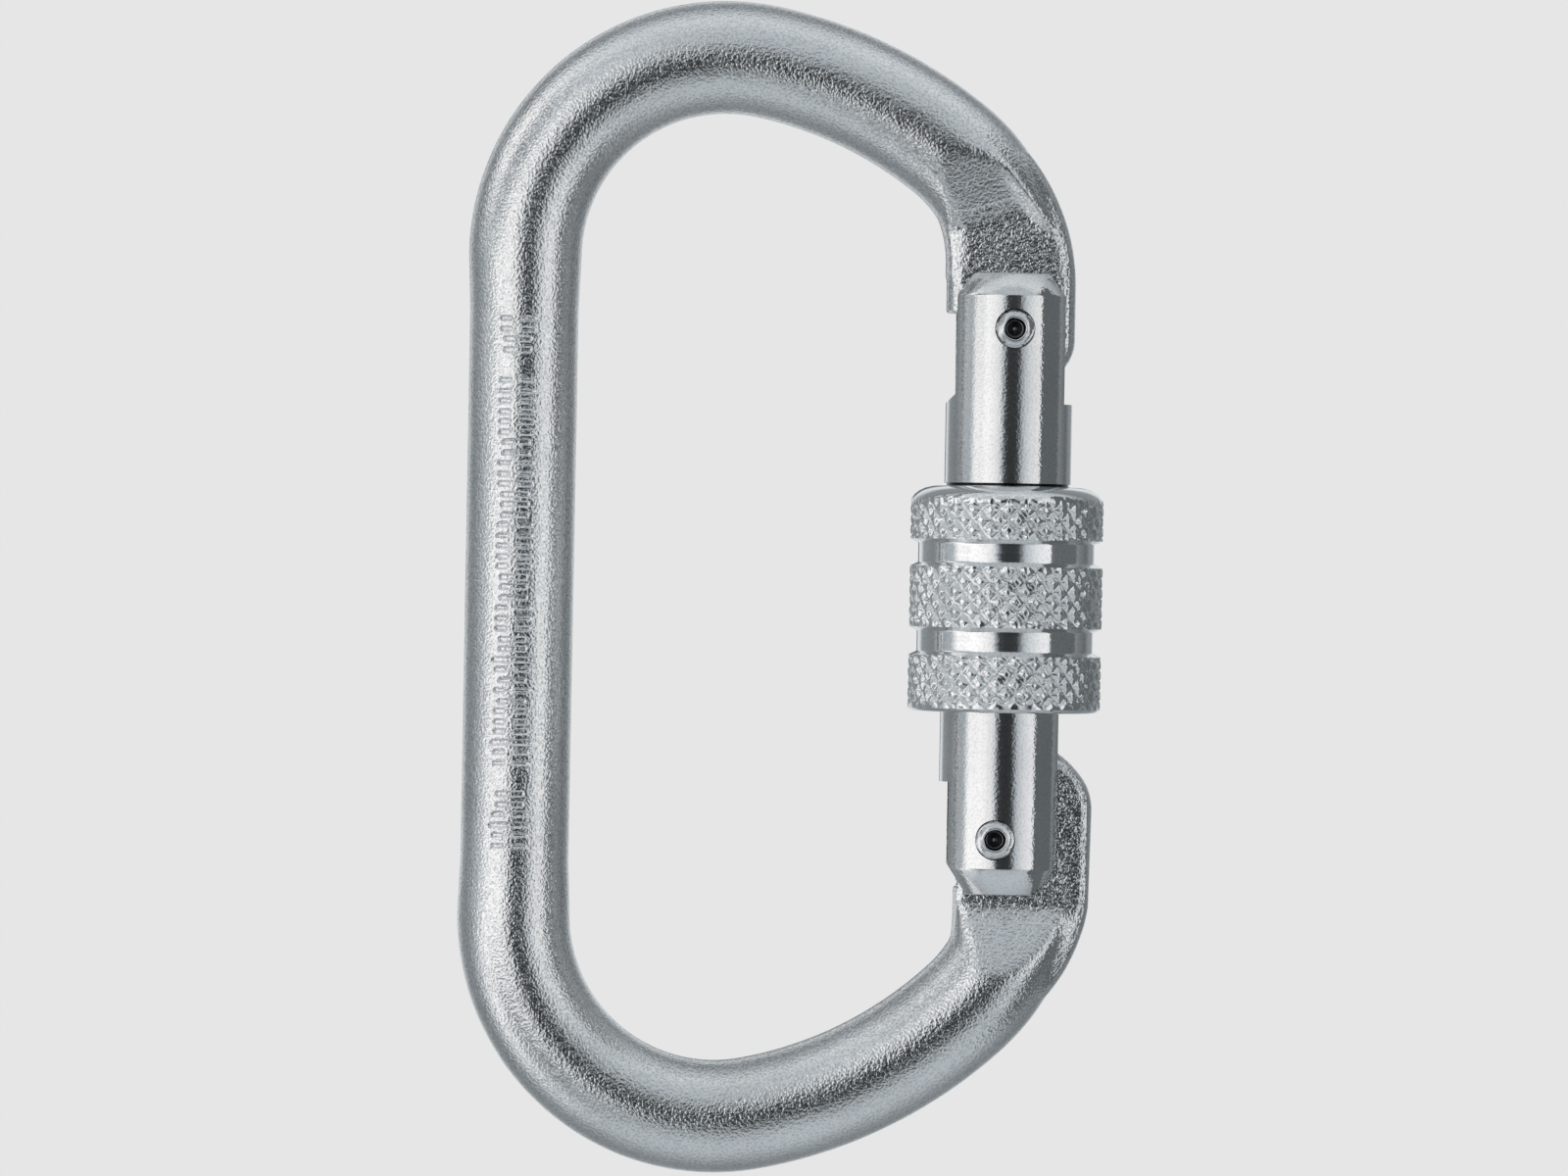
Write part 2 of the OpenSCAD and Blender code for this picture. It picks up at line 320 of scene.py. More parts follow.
def nose_outline(inset=0.0):
    """Nose tongue with its notch, open towards the spine. inset draws the two long edges in."""
    left, right = GATE_X - NOSE_W / 2 + inset, GATE_X + NOSE_W / 2 - inset
    corner = 4.0
    seat_r = LATCH_PIN_D / 2 + 0.2
    lip_z = LATCH[2] + LATCH_PIN_D / 2 + 0.15
    floor_z = LATCH[2] - seat_r - 0.3
    tooth_x = GATE_X - NOSE_W / 2 + 1.75 + inset * 0.3
    pts = arc((right - corner, NOSE_Z + corner), corner, -90, 0)
    pts += arc((right - NOSE_FLARE_R, NOSE_FLARE_C[1]), NOSE_FLARE_R, 0, 40)
    pts += [(left, pts[-1][1]), (left, lip_z)]
    reach = math.degrees(math.asin((lip_z - LATCH[2]) / seat_r))
    pts += arc((LATCH[0], LATCH[2]), seat_r, 180 - reach, 180 - reach - 230, 0.1)[:-1]
    pts += [(LATCH[0], floor_z), (tooth_x + 0.4, floor_z), (tooth_x, floor_z - 0.4), (tooth_x, NOSE_Z + 1)]
    pts += [(tooth_x + 1, NOSE_Z)]
    return pts


def rounded_plate(name, outline, r):
    """Tongue made as a loft of outlines, so that its long edges are rounded."""
    half, steps = TONGUE_T / 2, 8
    rings = []
    for side in (-1, 1):
        for k in range(steps + 1):
            a = math.radians(90 * (steps - k if side < 0 else k) / steps)
            y = side * (half - r + r * math.sin(a))
            rings.append([(p[0], y, p[1]) for p in outline(0.8 * r * (1 - math.cos(a)))])
    return new_object(name, loft(rings))


def hinge_outline(inset=0.0):
    """Hinge tongue: heel, plunger step and flared neck. inset draws the outer edge in."""
    right = GATE_X + HEEL_X
    hx, hz = HINGE[0], HINGE[2]
    # the heel's round back runs into the straight outer side through a smaller radius
    small = 5.0
    dx = right - small - hx
    dz = math.sqrt((HEEL_R - small) ** 2 - dx**2)
    turn = math.degrees(math.atan2(dz, dx))
    top = math.degrees(math.acos(1.6 / HEEL_R))
    pts = arc((right - small, hz + dz), small - inset, 0, turn)[:-1]
    pts += arc((hx, hz), HEEL_R - inset, turn, top, 0.4)
    pts += [(hx + 1.5, hz + HEEL_FLAT - inset), (hx - 3.9, hz + HEEL_FLAT), (hx - 3.9, hz - 2.6)]
    pts += [(hx - 2.4, hz - 4.9), (hx - 2.4, hz - 14.8)]
    pts += arc(HEEL_FLARE_C, HEEL_FLARE_R - inset, -41, 0)
    return pts


def ramp_prism(side):
    """Tool that flattens one face beside the hinge, with a slope back to the full rod."""
    t, r, slope_l = TONGUE_T / 2, BOW_D / 2, 6.4
    section = [(t, 0), (t, 20), (OUTSIDE, 20), (OUTSIDE, -slope_l), (r, -slope_l)]
    rings = [[(x, side * y, RIDGE_Z + z) for y, z in section] for x in (HINGE[0] - 11, HINGE[0] + 13)]
    return loft(rings)


def build_body():
    """Rod with flats cut beside the gate's ends, joined with both tongues, then softened and forged."""
    o = rod()
    gx = GATE_X
    window = [
        (gx - 11, 29.9), (gx - 11, 31.5), (gx - 4.5, 33.4), (gx + 2, 33.9),
        (gx + 5.05, 31.6), (gx + 9, 31.6), (gx + 9, 14), (gx - 11, 14),
    ]
    for side in (-1, 1):
        y0, y1 = sorted((side * TONGUE_T / 2, side * OUTSIDE))
        cut(o, plate(window, y0, y1))
        cut(o, ramp_prism(side))
    nose = rounded_plate("nose", nose_outline, 1.7)
    heel = rounded_plate("heel", hinge_outline, 1.3)
    # the pin's hole goes through the heel and the end of the rod
    hole_r = HINGE_PIN_D / 2 + FIT
    for part in (heel, o):
        cut(part, round_y(HINGE[0], HINGE[2], [(-9, hole_r), (9, hole_r)]))
    o = join([o, nose, heel])
    o.name = "forged_body"
    modifier(o, "REMESH", mode="VOXEL", voxel_size=0.22 * MM)
    modifier(o, "SMOOTH", factor=0.5, iterations=6)
    ease_walls(o)
    soften_blends(o)
    forge(o)
    return o


def ease_walls(o):
    """Runs the nose's flats up to the full rod in a long slope, with a steeper one along the outer side."""
    co = coords(o.data) / MM
    x, y, z = co.T
    left = np.clip(GATE_X - 4.6 - x, 0, 3) * np.clip((36.5 - z) / 3, 0, 1)
    # up and right are how far a point is past the foot of the long slope and of the steep one
    up = (z - 33.4) * 0.96 + (GATE_X - 4.5 - x) * 0.28
    right = (x - GATE_X + 2.35) * 0.69 + (z - 38.7) * 0.72
    steep = 1.3 + 0.9 * np.clip((x - GATE_X + 2.35) / 7.4, 0, 1)
    limit = TONGUE_T / 2 - 0.3 * left + np.maximum(np.maximum(0.33 * up, steep * right), 0)
    over = (z > 28.5) & (x > 11) & (np.abs(y) > limit)
    co[over, 1] = (np.sign(y) * limit)[over]
    set_coords(o.data, co * MM)


def soften_blends(o):
    """Forged fillets where the flats beside the gate run out into the full rod."""
    co = coords(o.data) / MM
    x, y, z = co.T
    off_middle = np.clip((np.abs(y) - 1.9) / 0.8, 0, 1)
    ramp = np.clip((RIDGE_Z + 0.6 - z) / 1.2, 0, 1) * (z > RIDGE_Z - 9)
    shoulder = 0.55 * np.clip((z - 28.6) / 1.2, 0, 1) * (z < 42)
    inner = np.clip((z - 28.4) / 1.0, 0, 1) * (z < 44) * (x < GATE_X - 2.6)
    inner = inner * (0.3 + 0.7 * np.clip((z - 36) / 2, 0, 1))
    fin = np.clip((x - 21) / 2, 0, 1) * np.clip((-28.5 - z) / 2, 0, 1) * (z > -42)
    weight = off_middle * (x > 10) * np.maximum.reduce([ramp, shoulder, inner, fin])
    weight = np.maximum(weight, 0.6 * fin * np.clip((-30.5 - z) / 2, 0, 1))
    group = o.vertex_groups.new(name="blend")
    for i in np.nonzero(weight)[0]:
        group.add([int(i)], float(weight[i]), "REPLACE")
    modifier(o, "SMOOTH", factor=0.5, iterations=70, vertex_group="blend")
    o.vertex_groups.clear()


def forge(o):
    """Uneven forged skin: slow waves, worn flats at both tongues, and plain punched marks on the spine."""
    refine_marked_strip(o)
    mesh = o.data
    co, no = coords(mesh) / MM, normals(mesh)
    flat = (np.abs(no[:, 1]) > 0.8) & (np.abs(np.abs(co[:, 1]) - TONGUE_T / 2) < 0.5)
    lift = np.zeros(len(co))
    for i, (p, on_flat) in enumerate(zip(co, flat)):
        v = Vector(p)
        lift[i] = 0.012 * noise.noise(v * 0.3)
        if on_flat:
            lift[i] += 0.03 * noise.noise(v * 2.1) - 0.03
    lift -= 0.16 * punched_marks(co)
    set_coords(mesh, (co + no * lift[:, None]) * MM)
    mark_points(o, "forged", flat)


# The punched marks: from where to where they run along the spine, and their middle across it.
MARK_ROW = (-24.5, 24.8)
MARK_X = SPINE_X - 0.4


def refine_marked_strip(o):
    """Halves the mesh size where the marks go."""
    bm = bmesh.new()
    bm.from_mesh(o.data)
    lo, hi = MARK_ROW

    def marked(v):
        return v.co.y < 0 and abs(v.co.x / MM - MARK_X) < 2.4 and lo - 1 < v.co.z / MM < hi + 1

    edges = [e for e in bm.edges if all(marked(v) for v in e.verts)]
    bmesh.ops.subdivide_edges(bm, edges=edges, cuts=1, use_grid_fill=True)
    bm.to_mesh(o.data)
    bm.free()


def punched_marks(co):
    """Depth, 0 to 1, of rows of plain punched bars down the spine's front face."""
    depth = np.zeros(len(co))
    rng = random.Random(7)
    x, y, z = co.T
    at, hi = MARK_ROW
    pitch = 1.9
    while at < hi:
        near = (y < 0) & (np.abs(z - at - 0.9) < 1.3) & (np.abs(x - MARK_X) < 2.3)
        u, v = x[near] - MARK_X, z[near] - at
        kind = rng.choice("bar bar short pair short pair gap".split())
        for side in (0.35, 1.35):
            if kind == "pair" or (kind == "bar" and side < 1):
                strokes = [(0, rng.choice((1.1, 1.7)))]
            elif kind == "gap":
                strokes = []
            else:
                strokes = [(-1.1, 0.35), (0.9, 0.55)]
            for centre, reach in strokes:
                stroke = np.hypot(np.maximum(np.abs(u - centre) - reach, 0), v - side)
                depth[near] = np.maximum(depth[near], np.clip(1.7 - stroke / 0.17, 0, 1))
        at += pitch
    return depth


# ---------------------------------------------------------------- gate

def hinge_slot(bottom):
    """Outline of the slot that straddles the hinge tongue."""
    pts = [(-8, -17.55), (-4.2, -17.55), (0.2, -12.1), (5.9, -10.3), (8, -10.3), (8, bottom), (-8, bottom)]
    return [(GATE_X + x, z) for x, z in pts]


def build_gate():
    """Turned rod with a slot at each end, recesses beside the heel, a bore and the rivets' seats."""
    r, end_r = GATE_D / 2, GATE_D / 2 - 1.2
    z0, z1 = GATE_LO[2], GATE_HI[2]
    profile = [(0, z0), (end_r - 0.15, z0), (end_r, z0 + 0.1), (r - 0.08, z0 + 2.27), (r, z0 + 2.45)]
    mouth = SLEEVE_HI[2]
    profile += [(r, mouth + 0.04), (r - 0.22, mouth + 0.08), (r - 0.22, mouth + 0.26), (r, mouth + 0.3)]
    profile += [(r, z1 - 2.1), (r - 0.08, z1 - 1.92), (end_r + 0.05, z1 - 0.15), (end_r - 0.2, z1), (0, z1)]
    o = new_object("slotted_gate", revolve(profile, (GATE_X, 0), 160))
    gx = GATE_X
    upper = [
        (gx - 8, SLOT_Z - 2.15), (gx - 4.9, SLOT_Z + 0.95), (gx + 3.8, SLOT_Z + 0.95),
        (gx + 4.4, SLOT_Z), (gx + 8, SLOT_Z), (gx + 8, z1 + 1), (gx - 8, z1 + 1),
    ]
    lower = hinge_slot(z0 - 1)
    hx, hz = HINGE[0], HINGE[2]
    inner = [(hx - 9, hz - 2.2), (hx - 4.42, hz - 2.2), (hx - 2.6, hz - 5)]
    inner += [(hx - 2.6, hz - 9), (hx - 9, hz - 9)]
    outer = [(hx + 3.4, hz - 9), (hx + 3.4, hz - 5), (hx + 4.6, hz - 4), (hx + 5.7, hz - 2.2)]
    outer += [(hx + 9, hz - 2.2), (hx + 9, hz - 9)]
    for outline, half in ((upper, SLOT_W / 2), (lower, SLOT_W / 2), (inner, 10), (outer, 10)):
        cut(o, plate(outline, -half, half))
    bore = [(0, -20), (BORE_D / 2, -20), (BORE_D / 2, BORE_TOP - 0.8), (0, BORE_TOP)]
    cut(o, revolve(bore, (gx + BORE_DX, 0), 64))
    for pin, d in ((HINGE, HINGE_PIN_D), (LATCH, LATCH_PIN_D)):
        seat = HEAD_D / 2 + 0.04
        stations = [(-9, seat + 0.1), (-r + 0.5, seat), (-r + 0.95, d / 2), (r - 0.95, d / 2)]
        stations += [(r - 0.5, seat), (9, seat + 0.1)]
        cut(o, round_y(pin[0], pin[2], stations))
    modifier(o, "BEVEL", width=0.07 * MM, segments=2, limit_method="ANGLE", angle_limit=math.radians(35))
    smooth_by_angle(o, 40)
    true_round(o, r)
    co = coords(o.data) / MM
    # painted shade: the floor of the small groove just above the sleeve's mouth is coloured near black, for
    # the shadow line where the gate goes into the sleeve
    inset = np.hypot(co[:, 0] - GATE_X, co[:, 1]) < r - 0.12
    shade(o, inset & (np.abs(co[:, 2] - mouth - 0.17) < 0.2))
    return o


def true_round(o, r):
    """Exact normals on the gate's round face, which the cuts would otherwise leave uneven."""
    mesh = o.data
    wanted = [n.vector.copy() for n in mesh.corner_normals]
    for face in mesh.polygons:
        away = Vector((face.center.x - GATE_X * MM, face.center.y, 0))
        if away.length > 0.97 * r * MM and away.normalized().dot(face.normal) > 0.99:
            for k in face.loop_indices:
                at = mesh.vertices[mesh.loops[k].vertex_index].co
                wanted[k] = Vector((at.x - GATE_X * MM, at.y, 0)).normalized()
    mesh.normals_split_custom_set(wanted)


def shade(o, dark):
    """Marks the points whose colour is darkened towards near black as painted shade, in a narrow gap or a
    hollow.
    """
    mark_points(o, "painted_shade", dark)


def build_thread():
    """Two-start thread raised on the gate under the sleeve."""
    z0, z1 = SLEEVE_LO[2] + 0.6, SLEEVE_HI[2] - 0.6
    root, crest, lead = GATE_D / 2 - 0.02, THREAD_D / 2, 4.0
    rows, steps = int((z1 - z0) / 0.16), 120

    def bumps(r, z, a):
        if r < root:
            return r
        phase = (2 * (z / lead - a / TAU)) % 1
        tooth = min(max(1.7 - abs(phase - 0.5) * 5.0, 0), 1)
        fade = min((z - z0) / 0.8, (z1 - z) / 0.8, 1)
        return root + (crest - root) * tooth * max(fade, 0)

    outer = [(crest, z0 + (z1 - z0) * i / rows) for i in range(rows + 1)]
    profile = [(root - 0.8, z0)] + outer + [(root - 0.8, z1)]
    o = new_object("gate_thread", revolve(profile, (GATE_X, 0), steps, bumps))
    cut(o, plate(hinge_slot(-20), -SLOT_W / 2, SLOT_W / 2))
    smooth_by_angle(o, 50)
    return o


# ---------------------------------------------------------------- sleeve, pins and spring

def knurl(z, a, r):
    """Depth of the diamond knurl at height z and angle a: two crossing families of vee grooves."""
    lines, slope = 32, math.tan(math.radians(47))
    u = a * lines / TAU
    v = z * lines / (TAU * r) / slope
    depth = 0.0
    for sign, weight in ((1, 0.4), (-1, 0.27)):
        f = abs((u + sign * v) % 1 - 0.5)
        depth = max(depth, weight * (1 - min(f * 3.0, 1)))
    return depth


def groove(lo, hi, g):
    """Flat-bottomed turned groove with small rounded corners."""
    side = [(g + 0.1, 0), (g + 0.03, 0.03), (g, 0.1), (g, 0.14)]
    return [(r, lo + d) for r, d in side] + [(r, hi - d) for r, d in side[::-1]]


def build_sleeve():
    """Sleeve with three knurled bands, two grooves, a nut at the bottom and a seat for the rubber ring."""
    r, g = (SLEEVE_HI[0] - SLEEVE_LO[0]) / 2, GROOVE_D / 2
    z0, top = SLEEVE_LO[2], SLEEVE_HI[2]
    bore, nut = SLEEVE_BORE_D / 2, THREAD_D / 2 + FIT
    ring_seat = bore + 0.45
    bands = [(z0 + 0.65, -5.9), (-3.3, 2.3), (4.8, top - 1.5)]

    def rows(lo, hi):
        n = int((hi - lo) / 0.11)
        return [(r, lo + (hi - lo) * i / n) for i in range(n + 1)]

    def turned(stations):
        """Fine turning marks round the floor of a groove."""
        rng = random.Random(4)
        out = []
        for (r0, a), (r1, b) in zip(stations, stations[1:]):
            n = max(1, int((b - a) / 0.1)) if r0 == r1 == g else 1
            out += [(r0 + (0.007 * (rng.random() - 1) if i else 0), a + (b - a) * i / n) for i in range(n)]
        return out + [stations[-1]]

    profile = [(nut, z0 + 0.4), (nut + 0.4, z0), (r - 0.65, z0)]
    profile += [(r - 0.3, z0 + 0.12), (r - 0.08, z0 + 0.35)]
    profile += rows(*bands[0]) + turned(groove(-5.6, -3.6, g))
    profile += rows(*bands[1]) + turned(groove(2.6, 4.5, g))
    profile += rows(*bands[2])
    profile += [(r - 0.12, top - 1.15), (r - 0.4, top - 0.78), (r - 0.8, top - 0.45), (r - 1.3, top - 0.2)]
    profile += [(r - 1.9, top - 0.04), (bore + 0.3, top), (bore + 0.1, top - 0.05), (bore, top - 0.2)]
    ring_top, ring_low = RING_HI[2] + 0.05, RING_LO[2] - 0.05
    profile += [(bore, ring_top), (ring_seat, ring_top), (ring_seat, ring_low), (nut, ring_low)]

    def bumps(rad, z, a):
        for lo, hi in bands:
            if lo <= z <= hi and rad > r - 0.01:
                edge = min((z - lo) / 0.35, (hi - z) / 0.35, 1)
                at = Vector((r * math.cos(a), r * math.sin(a), z))
                uneven = 0.03 * (1 + noise.noise(at * 2.6)) + 0.02 * (1 + noise.noise(at * 0.7))
                worn = 0.95 + 0.35 * noise.noise(at * 0.8)
                return r - uneven - knurl(z, a, r) * (0.35 + 0.65 * edge) * worn
        return rad

    steps = 640
    o = new_object("knurled_sleeve", revolve(profile, (GATE_X, 0), steps, bumps))
    smooth_by_angle(o, 38)
    z = coords(o.data)[:, 2] / MM
    rough = np.zeros(len(z))
    for lo, hi in bands:
        rough[(z >= lo) & (z <= hi)] = 1
    mark_points(o, "knurled", rough)
    return o


def build_rivet(name, pin, d):
    """Semi-tubular rivet with a rounded, slightly uneven swaged lip and a hollow whose colour is darkened
    as painted shade.
    """
    half, cup, head = GATE_D / 2, 0.94, HEAD_D / 2
    # across the hollow's floor, up its wall and over the lip to the shank
    lip = [(half - 1.55, 0.02), (half - 1.57, 0.2), (half - 1.7, 0.45), (half - 1.75, cup - 0.15)]
    lip += [(half - 1.6, cup), (half - 1, cup), (half - 0.3, cup), (half - 0.02, cup + 0.02)]
    lip += [(half + 0.08, cup + 0.1), (half + 0.07, cup + 0.2), (half - 0.01, cup + 0.36)]
    lip += [(half - 0.13, cup + 0.58), (half - 0.28, head - 0.1), (half - 0.4, head - 0.02)]
    lip += [(half - 0.9, d / 2)]
    steps = 72
    rings = []
    for side, stations in ((-1, lip), (1, lip[::-1])):
        for y, r in stations:
            ring = []
            for i in range(steps):
                a = TAU * i / steps
                rr, yy = r, y
                if y > half - 0.4:
                    at = Vector((math.cos(a) * 1.3, math.sin(a) * 1.3, 3 * side + pin[2]))
                    rr += 0.09 * noise.noise(at)
                    yy += 0.06 * math.cos(a - 2.3) + 0.05 * noise.noise(at + Vector((r, 0, 5))) - 0.06
                ring.append((pin[0] + rr * math.cos(a), side * yy, pin[2] + rr * math.sin(a)))
            rings.append(ring)
    o = new_object(name, loft(rings))
    smooth_by_angle(o, 60)
    co = coords(o.data) / MM
    away = np.hypot(co[:, 0] - pin[0], co[:, 2] - pin[2])
    hollow = (away < cup + 0.03) & (np.abs(co[:, 1]) < half - 0.25)
    # painted shade: the hollow is coloured dark, less so at its very middle so that a lighter spot shows
    # there
    shade(o, (0.5 + 0.4 * (away > 0.15)) * hollow)
    return o


def build_spring():
    """Round wire wound into an even helix."""
    wire, turns, sides, steps = 0.3, 8, 14, 36
    x, r = GATE_X + BORE_DX, BORE_D / 2 - 0.5
    low, high = SPRING_LO[2] + wire, SPRING_HI[2] - wire
    rings = []
    for i in range(turns * steps + 1):
        a, t = TAU * i / steps, i / (turns * steps)
        z = low + (high - low) * t
        ring = []
        for k in range(sides):
            b = TAU * k / sides
            rr = r + wire * math.cos(b)
            ring.append((x + rr * math.cos(a), rr * math.sin(a), z + wire * math.sin(b)))
        rings.append(ring)
    return new_object("coil_spring", loft(rings))


# ---------------------------------------------------------------- materials

def shader(name, colour, roughness, metallic=1.0):
    m = bpy.data.materials.new(name)
    m.use_nodes = True
    p = m.node_tree.nodes["Principled BSDF"]
    p.inputs["Base Color"].default_value = (*colour, 1)
    p.inputs["Roughness"].default_value = roughness
    p.inputs["Metallic"].default_value = metallic
    return m, m.node_tree.nodes, m.node_tree.links, p


def attribute_node(nodes, name):
    n = nodes.new("ShaderNodeAttribute")
    n.attribute_name = name
    return n.outputs["Fac"]


def noise_node(nodes, links, vector, scale, detail=3.0, rough=0.55):
    n = nodes.new("ShaderNodeTexNoise")
    n.inputs["Scale"].default_value = scale
    n.inputs["Detail"].default_value = detail
    n.inputs["Roughness"].default_value = rough
    links.new(vector, n.inputs["Vector"])
    return n


def math_node(nodes, links, how, a, b):
    n = nodes.new("ShaderNodeMath")
    n.operation = how
    for socket, v in zip(n.inputs, (a, b)):
        if isinstance(v, (int, float)):
            socket.default_value = v
        else:
            links.new(v, socket)
    return n.outputs[0]


def ramp_node(nodes, links, fac, stops):
    n = nodes.new("ShaderNodeValToRGB")
    n.color_ramp.interpolation = "LINEAR"
    while len(n.color_ramp.elements) > 1:
        n.color_ramp.elements.remove(n.color_ramp.elements[-1])
    for i, (pos, c) in enumerate(stops):
        e = n.color_ramp.elements[0] if i == 0 else n.color_ramp.elements.new(pos)
        e.position = pos
        e.color = (*c, 1) if isinstance(c, tuple) else (c, c, c, 1)
    links.new(fac, n.inputs["Fac"])
    return n.outputs["Color"]


def bump_node(nodes, links, height, distance, strength, normal=None):
    n = nodes.new("ShaderNodeBump")
    n.inputs["Distance"].default_value = distance
    if isinstance(strength, (int, float)):
        n.inputs["Strength"].default_value = strength
    else:
        links.new(strength, n.inputs["Strength"])
    links.new(height, n.inputs["Height"])
    if normal:
        links.new(normal, n.inputs["Normal"])
    return n.outputs["Normal"]


def zinc(name, grain, grain_height, roughness, tint, pits, forged=False, knurled=False):
    """Bright zinc plate with a fine speckled grain, whose pits are duller than its crests. forged adds
    a second pitting on the tongues' flats, and knurled keeps the grain to the knurled bands."""
    m, nodes, links, p = shader(name, (tint, tint, tint), roughness)
    place = nodes.new("ShaderNodeTexCoord").outputs["Object"]
    fine = noise_node(nodes, links, place, 1 / (grain * MM), 1.0, 0.5)
    cloud = noise_node(nodes, links, place, 1 / (9 * MM), 3.0)
    strength = 1.0
    if knurled:
        share = math_node(nodes, links, "MULTIPLY", attribute_node(nodes, "knurled"), 0.85)
        strength = math_node(nodes, links, "ADD", share, 0.1)
    normal = bump_node(nodes, links, fine.outputs["Fac"], grain_height * MM, strength)
    if forged:
        flats = attribute_node(nodes, "forged")
        worn = noise_node(nodes, links, place, 1 / (0.3 * MM), 1.0, 0.5)
        normal = bump_node(nodes, links, worn.outputs["Fac"], 0.035 * MM, flats, normal)
    links.new(normal, p.inputs["Normal"])
    stain = ramp_node(nodes, links, cloud.outputs["Fac"], [(0.35, 0.93), (0.6, 1)])
    speckle = ramp_node(nodes, links, fine.outputs["Fac"], [(0.34, tint * pits), (0.56, tint)])
    colour = nodes.new("ShaderNodeVectorMath")
    colour.operation = "MULTIPLY"
    links.new(stain, colour.inputs[0])
    links.new(speckle, colour.inputs[1])
    # painted shade: where a piece marks points for it, the colour is mixed towards near black
    mix = nodes.new("ShaderNodeMix")
    mix.data_type = "RGBA"
    links.new(attribute_node(nodes, "painted_shade"), mix.inputs["Factor"])
    links.new(colour.outputs[0], mix.inputs["A"])
    mix.inputs["B"].default_value = (0.02, 0.024, 0.025, 1)
    links.new(mix.outputs["Result"], p.inputs["Base Color"])
    rough = math_node(nodes, links, "MULTIPLY", cloud.outputs["Fac"], 0.08)
    links.new(math_node(nodes, links, "ADD", rough, roughness - 0.04), p.inputs["Roughness"])
    return m


def plain_metal(name, colour, roughness, grain):
    """Turned or drawn metal with a fine grain and slight tarnish."""
    m, nodes, links, p = shader(name, colour, roughness)
    place = nodes.new("ShaderNodeTexCoord").outputs["Object"]
    fine = noise_node(nodes, links, place, 1 / (grain * MM), 3.0)
    cloud = noise_node(nodes, links, place, 1 / (2.5 * MM), 3.0)
    links.new(bump_node(nodes, links, fine.outputs["Fac"], 0.01 * MM, 1.0), p.inputs["Normal"])
    dull = tuple(c * 0.75 for c in colour)
    tarnish = ramp_node(nodes, links, cloud.outputs["Fac"], [(0.35, dull), (0.65, colour)])
    links.new(tarnish, p.inputs["Base Color"])
    return m


def rubber(name):
    m, nodes, links, p = shader(name, (0.02, 0.02, 0.02), 0.6, 0.0)
    place = nodes.new("ShaderNodeTexCoord").outputs["Object"]
    fine = noise_node(nodes, links, place, 1 / (0.3 * MM), 3.0)
    links.new(bump_node(nodes, links, fine.outputs["Fac"], 0.02 * MM, 1.0), p.inputs["Normal"])
    black = ramp_node(nodes, links, fine.outputs["Fac"], [(0.3, 0.012), (0.7, 0.03)])
    links.new(black, p.inputs["Base Color"])
    return m


def paint(o, material):
    o.data.materials.clear()
    o.data.materials.append(material)


# ---------------------------------------------------------------- the object

FORGED = zinc("zinc_forged", 0.24, 0.066, 0.08, tint=0.88, pits=0.8, forged=True)
TURNED = zinc("zinc_turned", 0.22, 0.014, 0.06, tint=0.84, pits=0.88)
KNURLED = zinc("zinc_knurled", 0.24, 0.04, 0.08, tint=0.9, pits=0.88, knurled=True)
RIVET = zinc("zinc_rivet", 0.3, 0.02, 0.15, tint=0.85, pits=0.85)
WIRE = plain_metal("spring_wire", (0.5, 0.5, 0.52), 0.3, 0.2)

PIECES = [
    (build_body(), "frame", ["body"], "body", FORGED),
    (build_gate(), "gate", ["gate"], "gate", TURNED),
    (build_thread(), "gate", [], "gate", TURNED),
    (build_sleeve(), "sleeve", ["lock_sleeve"], "lock_sleeve", KNURLED),
    (build_rivet("latch_rivet", LATCH, LATCH_PIN_D), "gate", ["latch_pin"], "latch_pin", RIVET),
    (build_rivet("hinge_rivet", HINGE, HINGE_PIN_D), "gate", ["hinge_pin"], "hinge_pin", RIVET),
    (build_spring(), "follower", ["gate_spring"], "gate_spring", WIRE),
]
for piece, body, nodes, slot, material in PIECES:
    paint(piece, material)
    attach(piece, body)
    if nodes:
        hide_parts(*nodes)

for node, material in (
    ("plunger", plain_metal("plunger_brass", (0.72, 0.52, 0.24), 0.28, 0.25)),
    ("friction_ring", rubber("black_rubber")),
):
    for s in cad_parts[node].material_slots:
        s.material = material


# ---------------------------------------------------------------- studio

PALE = 0.79                   # glow of the floor and the dome
TENT_R = 750                  # mm
OPENING = (74, -750, -79)     # towards the middle of the tent's dark opening, by the camera
PEAK = 1.2                    # strength that the ramps take as 1

# Light round the set: a soft wash, as (degrees from the middle of the opening, strength), and panels on it.
WASH = [
    (0, .03), (12, .05), (18, .1), (24, .25), (34, .42), (46, .53), (62, .58), (78, .51),
    (92, .4), (106, .31), (120, .25), (146, .32), (154, .7), (165, .85), (171, .2), (180, .1),
]
# Each panel: its direction (0 right, 90 up), half its width that way, its near and far edges, all in
# degrees, and its strength. A panel below 0 takes light away.
PANELS = [
    (175, 45, 18, 76, .62),    # main panel, left
    (150, 15, 54, 79, -.85),   # dark gap in it, above
    (210, 15, 37, 65, -.85),   # dark gap in it, below
    (150, 15, 85, 114, .8),    # strip beyond the upper gap
    (210, 15, 73, 94, .45),    # strip beyond the lower gap
    (90, 48, 76, 116, .28),    # overhead
    (5, 30, 16, 60, .38),      # fill, right
    (35, 15, 62, 100, .15),    # small fill, above it
    (345, 30, 80, 125, -.1),   # dark side, right
]
SOFT, NEAR_FADE, FAR_FADE = 15, 4, 5   # half the soft width of a panel's sides and of its two edges


def tone(v):
    """Light of strength v: the bright panels are neutral, and the darker parts of the set slightly cool."""
    cool = min(1, max(0, (1 - v) / 0.4))
    return (v * (1 - 0.08 * cool) / PEAK, v / PEAK, v * (1 + 0.06 * cool) / PEAK)


